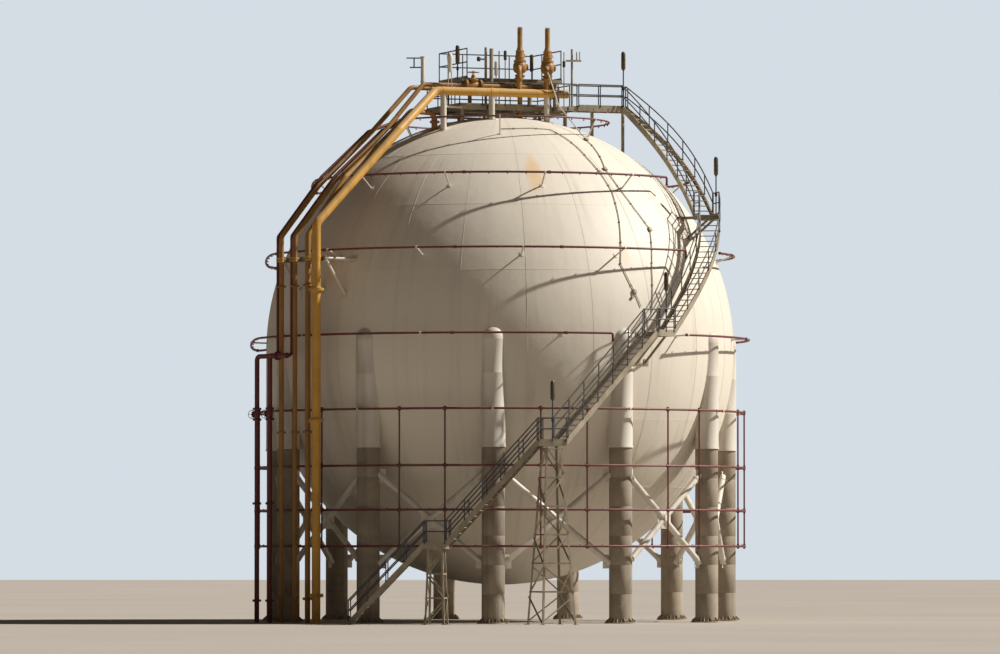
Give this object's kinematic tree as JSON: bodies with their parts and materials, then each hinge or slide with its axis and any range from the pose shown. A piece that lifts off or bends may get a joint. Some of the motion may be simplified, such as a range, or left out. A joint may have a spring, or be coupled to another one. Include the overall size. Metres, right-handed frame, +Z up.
{
  "type": "spherical gas tank",
  "caption": "Spherical pressure tank on tubular legs with crossed bracing, spray water rings, relief piping, a stair round its side and decks on top.",
  "frame": {"origin": "middle of the whole plan at ground level", "axes": "+Z up, +Y away from the viewer of the picture, +X to the right"},
  "size_m": [23.0896, 27.0961, 27.46],
  "materials": {
    "shell_paint": "satin off-white paint, weathered",
    "leg_paint": "satin off-white paint, weathered",
    "fireproofing": "rough grey-tan cement coat on the lower legs",
    "spray_pipe_maroon": "semi-gloss maroon paint",
    "gas_pipe_yellow": "semi-gloss ochre yellow paint",
    "valve_paint": "dull yellow paint",
    "galvanised_steel": "dull galvanised and painted steel",
    "lamp_housing": "pale grey enamel"
  },
  "bodies": {
    "root": {"shell_bottom_crown": "shell_paint", "shell_low_course": "shell_paint", "shell_lower_course": "shell_paint", "shell_equator_course": "shell_paint", "shell_upper_course": "shell_paint", "shell_high_course": "shell_paint", "shell_top_crown": "shell_paint", "leg_01": "leg_paint", "leg_02": "leg_paint", "leg_03": "leg_paint", "leg_04": "leg_paint", "leg_05": "leg_paint", "leg_06": "leg_paint", "leg_07": "leg_paint", "leg_08": "leg_paint", "leg_09": "leg_paint", "leg_10": "leg_paint", "leg_11": "leg_paint", "brace_01": "leg_paint", "brace_02": "leg_paint", "brace_03": "leg_paint", "brace_04": "leg_paint", "brace_05": "leg_paint", "brace_06": "leg_paint", "brace_07": "leg_paint", "brace_08": "leg_paint", "brace_09": "leg_paint", "brace_10": "leg_paint", "brace_11": "leg_paint", "spray_ring_upper": "spray_pipe_maroon", "spray_ring_middle": "spray_pipe_maroon", "spray_ring_equator": "spray_pipe_maroon", "spray_cage_lower": "spray_pipe_maroon", "spray_risers": "spray_pipe_maroon", "yellow_line_2": "gas_pipe_yellow", "yellow_line_3": "gas_pipe_yellow", "yellow_line_4": "gas_pipe_yellow", "relief_header": "gas_pipe_yellow", "relief_valve_1": "valve_paint", "relief_valve_2": "valve_paint", "pipe_bank_bracket": "galvanised_steel", "stair_flight_1": "galvanised_steel", "stair_flight_2": "galvanised_steel", "stair_flight_3": "galvanised_steel", "stair_flight_4": "galvanised_steel", "stair_flight_5": "galvanised_steel", "landing_1": "galvanised_steel", "landing_2": "galvanised_steel", "landing_3": "galvanised_steel", "landing_4": "galvanised_steel", "landing_tower_1": "galvanised_steel", "landing_tower_2": "galvanised_steel", "top_deck": "galvanised_steel", "valve_deck": "galvanised_steel", "walkway": "galvanised_steel"}
  },
  "joints": []
}
